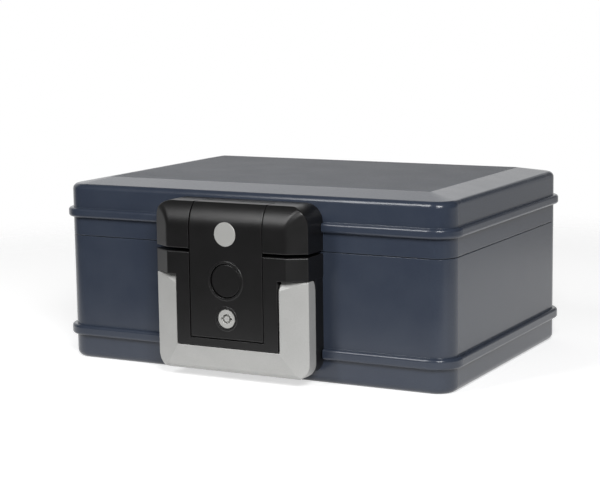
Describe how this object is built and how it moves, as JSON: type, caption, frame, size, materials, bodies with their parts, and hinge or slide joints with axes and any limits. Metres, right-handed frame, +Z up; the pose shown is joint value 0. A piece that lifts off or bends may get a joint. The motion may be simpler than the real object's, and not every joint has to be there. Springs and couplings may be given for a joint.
{
  "type": "fireproof box",
  "caption": "Portable fireproof box: an insulated body and hinged lid with a locking hasp, push button, key lock and swinging carry handle on the front.",
  "frame": {"origin": "centre of the shell's underside, on the surface that the box stands on", "axes": "+Z up, +X to the right seen from the front, and the front wall faces -Y"},
  "size_m": [0.3684, 0.3006, 0.157],
  "materials": {
    "shell_plastic": "slate blue-grey satin",
    "liner_plastic": "dark grey matt",
    "insulation": "pale set fill",
    "lock_plastic": "near-black satin",
    "handle_silver": "silver paint",
    "silver_disc": "satin silver",
    "steel": "plated",
    "hinge_steel": "dark coated steel",
    "seal_strip": "matt strip"
  },
  "bodies": {
    "body": {"body_shell": "shell_plastic", "body_liner": "liner_plastic", "body_insulation": "insulation", "lock_base": "lock_plastic", "lock_base_screws": "steel", "catch_clip": "steel", "handle_pins": "steel", "hinge_lower_screws": "steel", "hinge_lower_leaf_left": "hinge_steel", "hinge_lower_leaf_right": "hinge_steel", "hinge_pin_left": "steel", "hinge_pin_right": "steel"},
    "lid": {"lid_shell": "shell_plastic", "lid_liner": "liner_plastic", "lid_insulation": "insulation", "lid_seal": "seal_strip", "latch_cover": "lock_plastic", "latch_cover_screws": "steel", "hasp_pin": "steel", "hinge_upper_screws": "steel", "hinge_upper_leaf_left": "hinge_steel", "hinge_upper_leaf_right": "hinge_steel"},
    "hasp": {"hasp_plate": "lock_plastic", "hasp_back_plate": "lock_plastic", "hasp_screws": "steel", "badge_disc": "silver_disc", "lock_cylinder": "silver_disc", "lock_nut": "steel", "button_spring": "steel"},
    "button": {"release_button": "lock_plastic"},
    "key_plug": {"lock_plug": "silver_disc", "lock_cam": "steel", "cam_screw": "steel"},
    "handle": {"carry_handle": "handle_silver"}
  },
  "joints": [
    {"name": "lid_hinge", "type": "hinge", "parent": "body", "child": "lid", "pos_m": [0, 0.133, 0.1082], "axis": [-1, 0, 0], "range_deg": [0, 100], "deforming": ["catch_clip"]},
    {"name": "hasp_swing", "type": "hinge", "parent": "lid", "child": "hasp", "pos_m": [0, -0.148, 0.1343], "axis": [-1, 0, 0], "range_deg": [0, 85], "deforming": ["catch_clip"]},
    {"name": "button_press", "type": "slide", "parent": "hasp", "child": "button", "axis": [0, 1, 0], "range_m": [0, 0.0035], "stiffness_N_per_m": 600, "deforming": ["button_spring", "catch_clip"]},
    {"name": "key_turn", "type": "hinge", "parent": "hasp", "child": "key_plug", "pos_m": [0, -0.15, 0.054], "axis": [0, 1, 0], "range_deg": [0, 90]},
    {"name": "handle_swing", "type": "hinge", "parent": "body", "child": "handle", "pos_m": [0, -0.153, 0.08007], "axis": [-1, 0, 0], "range_deg": [0, 90]}
  ]
}
